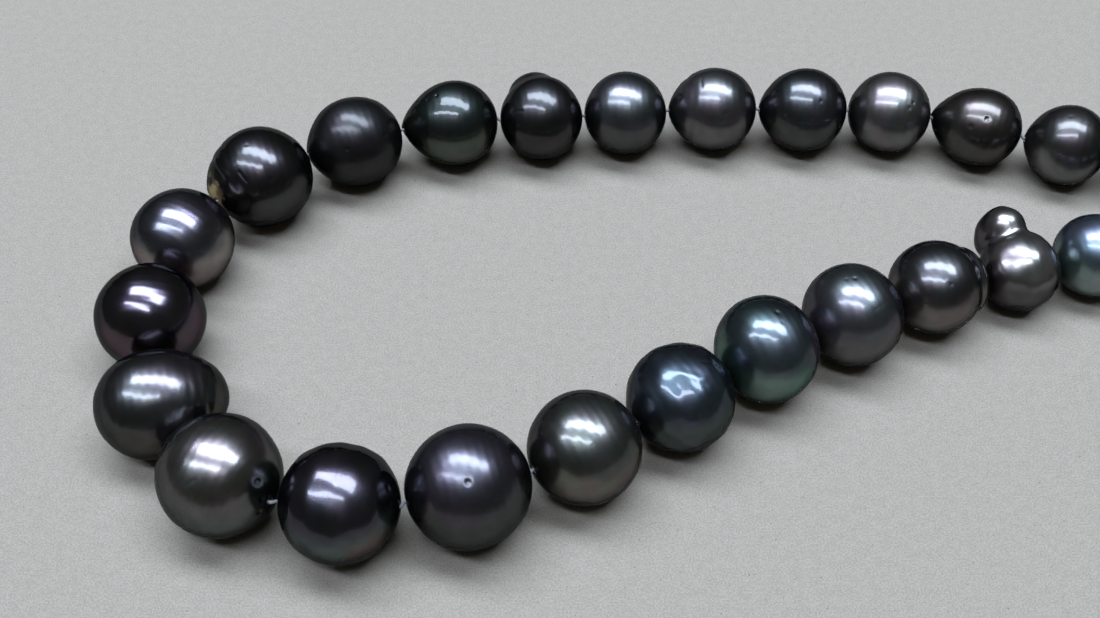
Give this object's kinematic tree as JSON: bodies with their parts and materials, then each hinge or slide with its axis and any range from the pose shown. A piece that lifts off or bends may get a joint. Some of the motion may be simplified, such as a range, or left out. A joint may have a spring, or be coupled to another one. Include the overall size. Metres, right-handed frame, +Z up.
{
  "type": "pearl necklace",
  "caption": "Strand of dark baroque pearls of graded size on one thread, laid in a U, with a two-part ball clasp unfastened at the open ends.",
  "frame": {"origin": "centre of the necklace's plan box, on the table it lies on", "axes": "+X from the bend of the U to its open ends, +Y across the U, +Z up from the table"},
  "size_m": [0.187, 0.0738, 0.0128],
  "materials": {
    "nacre": "gloss",
    "silk": "matte",
    "white_gold": "polished"
  },
  "bodies": {
    "pearl_17": {"pearl_17": "nacre", "silk_thread": "silk"},
    "pearl_01": {"pearl_01": "nacre", "bullion_loop_near": "white_gold"},
    "pearl_02": {"pearl_02": "nacre"},
    "pearl_03": {"pearl_03": "nacre"},
    "pearl_04": {"pearl_04": "nacre"},
    "pearl_05": {"pearl_05": "nacre"},
    "pearl_06": {"pearl_06": "nacre"},
    "pearl_07": {"pearl_07": "nacre"},
    "pearl_08": {"pearl_08": "nacre"},
    "pearl_09": {"pearl_09": "nacre"},
    "pearl_10": {"pearl_10": "nacre"},
    "pearl_11": {"pearl_11": "nacre"},
    "pearl_12": {"pearl_12": "nacre"},
    "pearl_13": {"pearl_13": "nacre"},
    "pearl_14": {"pearl_14": "nacre"},
    "pearl_15": {"pearl_15": "nacre"},
    "pearl_16": {"pearl_16": "nacre"},
    "pearl_18": {"pearl_18": "nacre"},
    "pearl_19": {"pearl_19": "nacre"},
    "pearl_20": {"pearl_20": "nacre"},
    "pearl_21": {"pearl_21": "nacre"},
    "pearl_22": {"pearl_22": "nacre"},
    "pearl_23": {"pearl_23": "nacre"},
    "pearl_24": {"pearl_24": "nacre"},
    "pearl_25": {"pearl_25": "nacre"},
    "pearl_26": {"pearl_26": "nacre"},
    "pearl_27": {"pearl_27": "nacre"},
    "pearl_28": {"pearl_28": "nacre"},
    "pearl_29": {"pearl_29": "nacre"},
    "pearl_30": {"pearl_30": "nacre"},
    "pearl_31": {"pearl_31": "nacre"},
    "pearl_32": {"pearl_32": "nacre"},
    "pearl_33": {"pearl_33": "nacre", "bullion_loop_far": "white_gold"},
    "tongue": {"clasp_tongue": "white_gold"},
    "leaf": {"tongue_leaf": "white_gold"},
    "ball": {"clasp_ball": "white_gold"}
  },
  "joints": [
    {"name": "tongue_swing", "type": "hinge", "parent": "pearl_01", "child": "tongue", "pos_m": [0.0827, 0.00456, 0.00285], "axis": [0, 0, -1], "range_deg": [-30, 30]},
    {"name": "bend_01_02", "type": "hinge", "parent": "pearl_02", "child": "pearl_01", "pos_m": [0.07011, 0.00622, 0.0047], "axis": [0, 0, 1], "range_deg": [-24, 30], "deforming": ["silk_thread"]},
    {"name": "bend_02_03", "type": "hinge", "parent": "pearl_03", "child": "pearl_02", "pos_m": [0.0597, 0.0071, 0.0048], "axis": [0, 0, -1], "range_deg": [-26, 30], "deforming": ["silk_thread"]},
    {"name": "bend_03_04", "type": "hinge", "parent": "pearl_04", "child": "pearl_03", "pos_m": [0.04965, 0.0076, 0.00481], "axis": [0, 0, 1], "range_deg": [-28, 14], "deforming": ["silk_thread"]},
    {"name": "bend_04_05", "type": "hinge", "parent": "pearl_05", "child": "pearl_04", "pos_m": [0.0391, 0.00726, 0.00482], "axis": [0, 0, -1], "range_deg": [-8, 22], "deforming": ["silk_thread"]},
    {"name": "bend_05_06", "type": "hinge", "parent": "pearl_06", "child": "pearl_05", "pos_m": [0.02891, 0.00609, 0.00498], "axis": [0, 0, 1], "range_deg": [-22, 7], "deforming": ["silk_thread"]},
    {"name": "bend_06_07", "type": "hinge", "parent": "pearl_07", "child": "pearl_06", "pos_m": [0.01892, 0.00427, 0.00478], "axis": [0, 0, -1], "range_deg": [-5, 20], "deforming": ["silk_thread"]},
    {"name": "bend_07_08", "type": "hinge", "parent": "pearl_08", "child": "pearl_07", "pos_m": [0.00951, 0.00166, 0.00502], "axis": [0, 0, 1], "range_deg": [-24, 3], "deforming": ["silk_thread"]},
    {"name": "bend_08_09", "type": "hinge", "parent": "pearl_09", "child": "pearl_08", "pos_m": [-0.00171, -0.00244, 0.0058], "axis": [0, 0, -1], "range_deg": [-3, 20], "deforming": ["silk_thread"]},
    {"name": "bend_09_10", "type": "hinge", "parent": "pearl_10", "child": "pearl_09", "pos_m": [-0.0122, -0.00731, 0.00607], "axis": [0, 0, 1], "range_deg": [-18, 1], "deforming": ["silk_thread"]},
    {"name": "bend_10_11", "type": "hinge", "parent": "pearl_11", "child": "pearl_10", "pos_m": [-0.0224, -0.01333, 0.006], "axis": [0, 0, -1], "range_deg": [-1, 20], "deforming": ["silk_thread"]},
    {"name": "bend_11_12", "type": "hinge", "parent": "pearl_12", "child": "pearl_11", "pos_m": [-0.03244, -0.02039, 0.0059], "axis": [0, 0, 1], "range_deg": [-30, 1], "deforming": ["silk_thread"]},
    {"name": "bend_12_13", "type": "hinge", "parent": "pearl_13", "child": "pearl_12", "pos_m": [-0.04352, -0.02659, 0.00626], "axis": [0, 0, -1], "range_deg": [-1, 30], "deforming": ["silk_thread"]},
    {"name": "bend_13_14", "type": "hinge", "parent": "pearl_14", "child": "pearl_13", "pos_m": [-0.05659, -0.03065, 0.00634], "axis": [0, 0, 1], "range_deg": [-30, 1], "deforming": ["silk_thread"]},
    {"name": "bend_14_15", "type": "hinge", "parent": "pearl_15", "child": "pearl_14", "pos_m": [-0.06973, -0.03039, 0.00636], "axis": [0, 0, -1], "range_deg": [0, 30], "deforming": ["silk_thread"]},
    {"name": "bend_15_16", "type": "hinge", "parent": "pearl_16", "child": "pearl_15", "pos_m": [-0.08171, -0.02358, 0.00618], "axis": [0, 0, 1], "range_deg": [-30, 0], "deforming": ["silk_thread"]},
    {"name": "bend_16_17", "type": "hinge", "parent": "pearl_17", "child": "pearl_16", "pos_m": [-0.08727, -0.01199, 0.00598], "axis": [0, 0, -1], "range_deg": [0, 30], "deforming": ["silk_thread"]},
    {"name": "bend_17_18", "type": "hinge", "parent": "pearl_17", "child": "pearl_18", "pos_m": [-0.08777, 0.00104, 0.00608], "axis": [0, 0, -1], "range_deg": [-30, 0], "deforming": ["silk_thread"]},
    {"name": "bend_18_19", "type": "hinge", "parent": "pearl_18", "child": "pearl_19", "pos_m": [-0.08318, 0.01279, 0.00615], "axis": [0, 0, 1], "range_deg": [0, 30], "deforming": ["silk_thread"]},
    {"name": "bend_19_20", "type": "hinge", "parent": "pearl_19", "child": "pearl_20", "pos_m": [-0.07286, 0.02196, 0.00597], "axis": [0, 0, -1], "range_deg": [-30, 0], "deforming": ["silk_thread"]},
    {"name": "bend_20_21", "type": "hinge", "parent": "pearl_20", "child": "pearl_21", "pos_m": [-0.06095, 0.02711, 0.00556], "axis": [0, 0, 1], "range_deg": [0, 30], "deforming": ["silk_thread"]},
    {"name": "bend_21_22", "type": "hinge", "parent": "pearl_21", "child": "pearl_22", "pos_m": [-0.04833, 0.02923, 0.00547], "axis": [0, 0, -1], "range_deg": [-30, 1], "deforming": ["silk_thread"]},
    {"name": "bend_22_23", "type": "hinge", "parent": "pearl_22", "child": "pearl_23", "pos_m": [-0.0372, 0.03007, 0.00539], "axis": [0, 0, 1], "range_deg": [-1, 26], "deforming": ["silk_thread"]},
    {"name": "bend_23_24", "type": "hinge", "parent": "pearl_23", "child": "pearl_24", "pos_m": [-0.02609, 0.0311, 0.0054], "axis": [0, 0, -1], "range_deg": [-30, 1], "deforming": ["silk_thread"]},
    {"name": "bend_24_25", "type": "hinge", "parent": "pearl_24", "child": "pearl_25", "pos_m": [-0.01415, 0.03138, 0.00546], "axis": [0, 0, 1], "range_deg": [-1, 30], "deforming": ["silk_thread"]},
    {"name": "bend_25_26", "type": "hinge", "parent": "pearl_25", "child": "pearl_26", "pos_m": [-0.00218, 0.0313, 0.00538], "axis": [0, 0, -1], "range_deg": [-30, 1], "deforming": ["silk_thread"]},
    {"name": "bend_26_27", "type": "hinge", "parent": "pearl_26", "child": "pearl_27", "pos_m": [0.00879, 0.02999, 0.00516], "axis": [0, 0, 1], "range_deg": [-3, 16], "deforming": ["silk_thread"]},
    {"name": "bend_27_28", "type": "hinge", "parent": "pearl_27", "child": "pearl_28", "pos_m": [0.01997, 0.02627, 0.00511], "axis": [0, 0, -1], "range_deg": [-30, 5], "deforming": ["silk_thread"]},
    {"name": "bend_28_29", "type": "hinge", "parent": "pearl_28", "child": "pearl_29", "pos_m": [0.0304, 0.02331, 0.00505], "axis": [0, 0, 1], "range_deg": [-7, 22], "deforming": ["silk_thread"]},
    {"name": "bend_29_30", "type": "hinge", "parent": "pearl_29", "child": "pearl_30", "pos_m": [0.0406, 0.02151, 0.00487], "axis": [0, 0, -1], "range_deg": [-28, 8], "deforming": ["silk_thread"]},
    {"name": "bend_30_31", "type": "hinge", "parent": "pearl_30", "child": "pearl_31", "pos_m": [0.05113, 0.02076, 0.00481], "axis": [0, 0, 1], "range_deg": [-14, 22], "deforming": ["silk_thread"]},
    {"name": "bend_31_32", "type": "hinge", "parent": "pearl_31", "child": "pearl_32", "pos_m": [0.06119, 0.02096, 0.00476], "axis": [0, 0, -1], "range_deg": [-24, 26], "deforming": ["silk_thread"]},
    {"name": "bend_32_33", "type": "hinge", "parent": "pearl_32", "child": "pearl_33", "pos_m": [0.07111, 0.0217, 0.00471], "axis": [0, 0, 1], "range_deg": [-30, 24], "deforming": ["silk_thread"]},
    {"name": "ball_swing", "type": "hinge", "parent": "pearl_33", "child": "ball", "pos_m": [0.08424, 0.02338, 0.004], "axis": [0, 0, -1], "range_deg": [-30, 30]},
    {"name": "leaf_press", "type": "hinge", "parent": "tongue", "child": "leaf", "pos_m": [0.09041, 0.00356, 0.00099], "axis": [-0.1283, -0.9917, 0], "range_deg": [0, 8], "stiffness_Nm_per_rad": 0.01}
  ]
}
